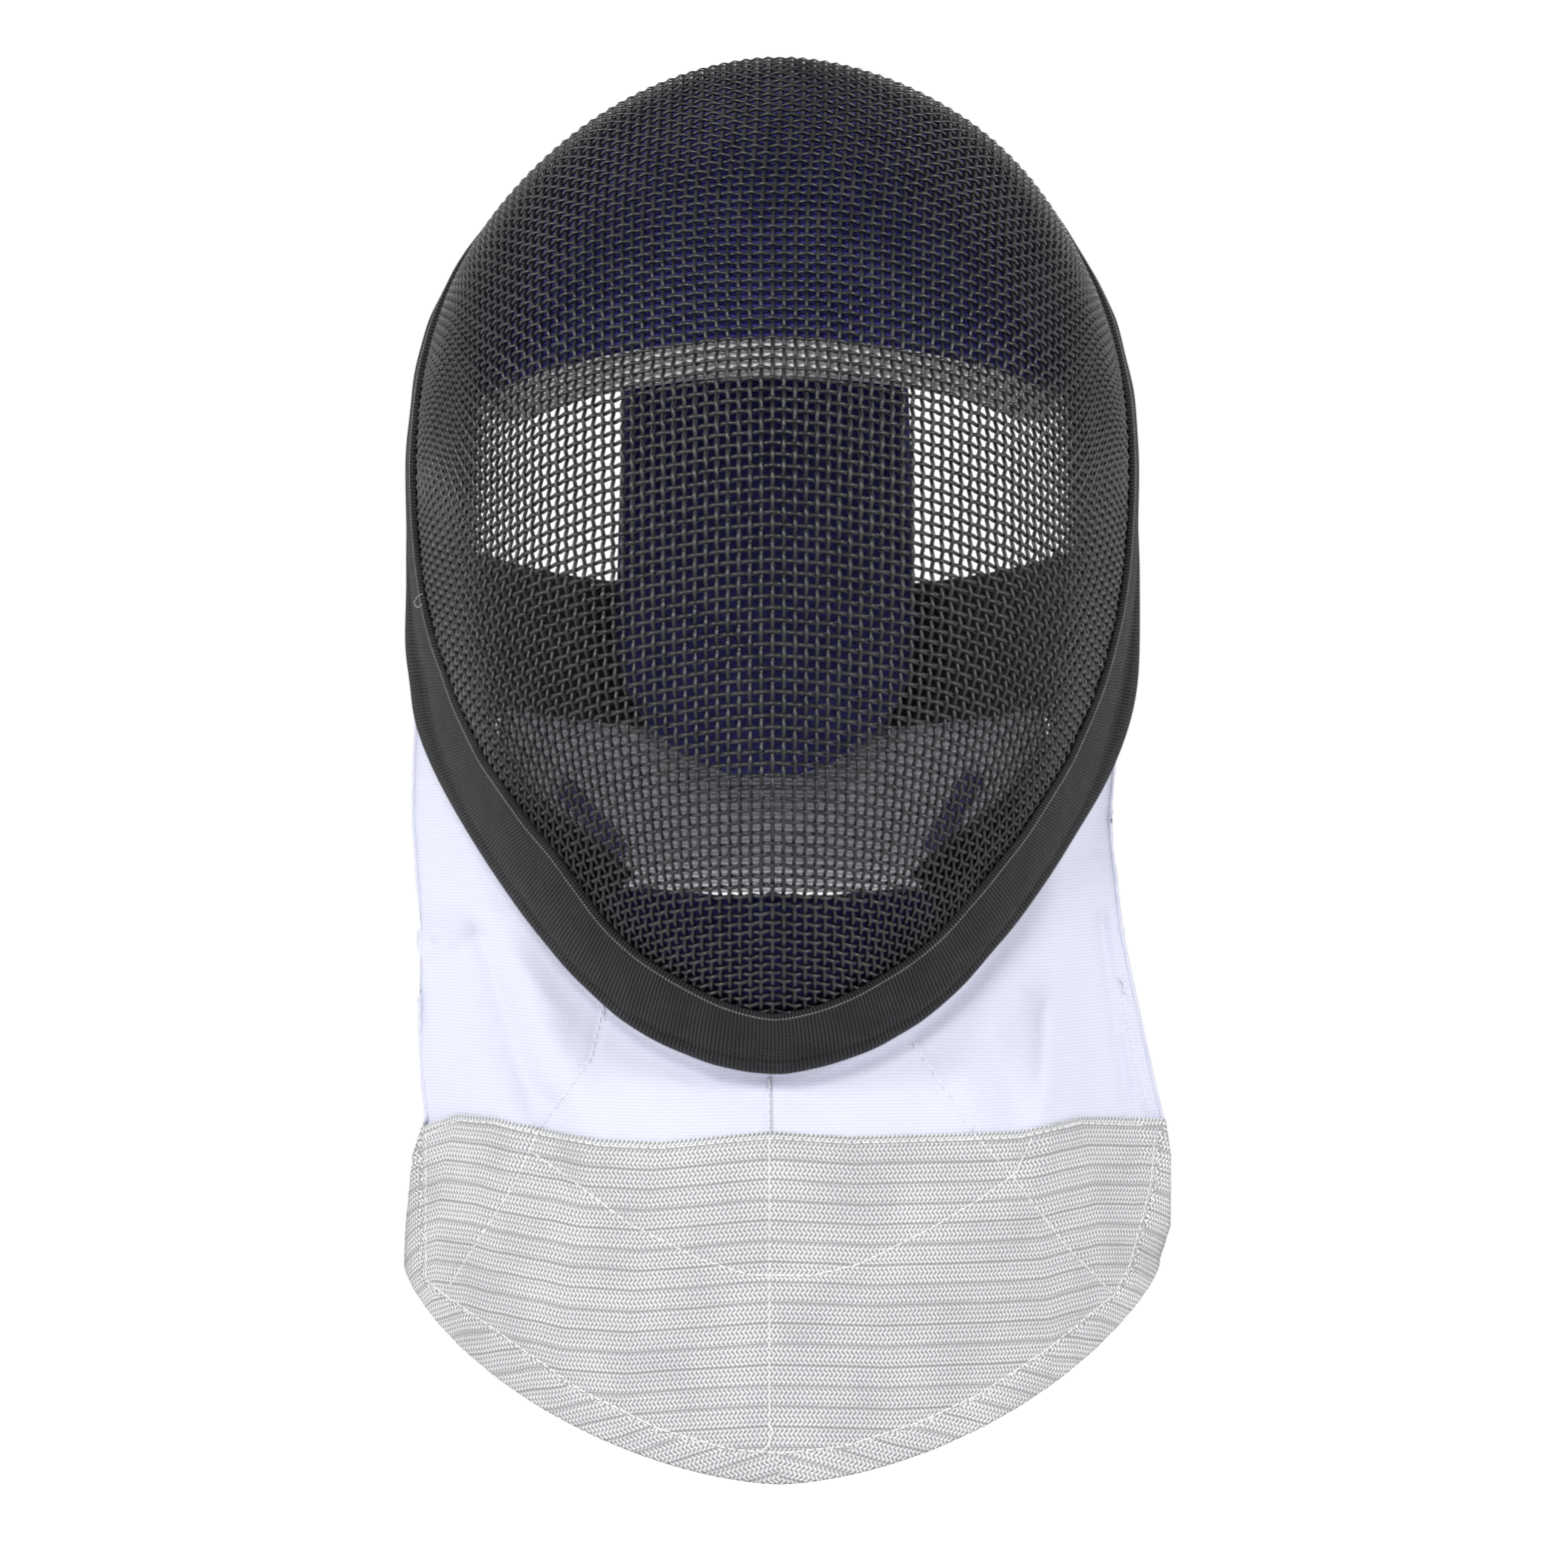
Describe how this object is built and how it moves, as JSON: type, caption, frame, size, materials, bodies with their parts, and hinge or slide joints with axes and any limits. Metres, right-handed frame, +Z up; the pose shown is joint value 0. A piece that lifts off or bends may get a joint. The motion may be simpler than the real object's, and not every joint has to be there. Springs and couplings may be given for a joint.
{
  "type": "fencing mask",
  "caption": "Fencing mask: domed steel wire cage with a padded inside, knitted edge band, woven throat bib with a conductive lower part, and elastic head straps, held as worn.",
  "frame": {"origin": "where the crown of the wearer's head sits, under the crown pad, on the mask's middle plane", "axes": "+Z up as worn, -Y the way the mask faces, +X to the right of someone who looks at its front"},
  "size_m": [0.224, 0.21, 0.4082],
  "materials": {
    "wire_mesh": "dark grey satin paint on woven steel wires",
    "rim_binding": "black knitted elastic with fine ribs",
    "bib": "bluish white woven cloth with fine ribs",
    "lame_bib": "silver-grey conductive knit with a dull metal sheen",
    "forehead_pad": "navy brushed cloth over foam",
    "pad_edge_band": "light grey speckled cloth",
    "side_lining_left": "near-black navy cloth over foam",
    "side_lining_right": "near-black navy cloth over foam",
    "chin_pad": "navy brushed cloth over foam",
    "back_strap": "black woven elastic",
    "neck_strap": "mid-grey woven elastic",
    "strap_tab_left": "navy tape",
    "strap_tab_right": "navy tape",
    "tongue_pad": "dark navy brushed cloth over foam",
    "tongue_spring": "bare spring steel"
  },
  "bodies": {
    "root": {"wire_mesh": "wire_mesh", "rim_binding": "rim_binding", "bib": "bib", "lame_bib": "lame_bib", "forehead_pad": "forehead_pad", "pad_edge_band": "pad_edge_band", "side_lining_left": "side_lining_left", "side_lining_right": "side_lining_right", "chin_pad": "chin_pad", "back_strap": "back_strap", "neck_strap": "neck_strap", "strap_tab_left": "strap_tab_left", "strap_tab_right": "strap_tab_right", "tongue_pad": "tongue_pad", "tongue_spring": "tongue_spring"}
  },
  "joints": []
}
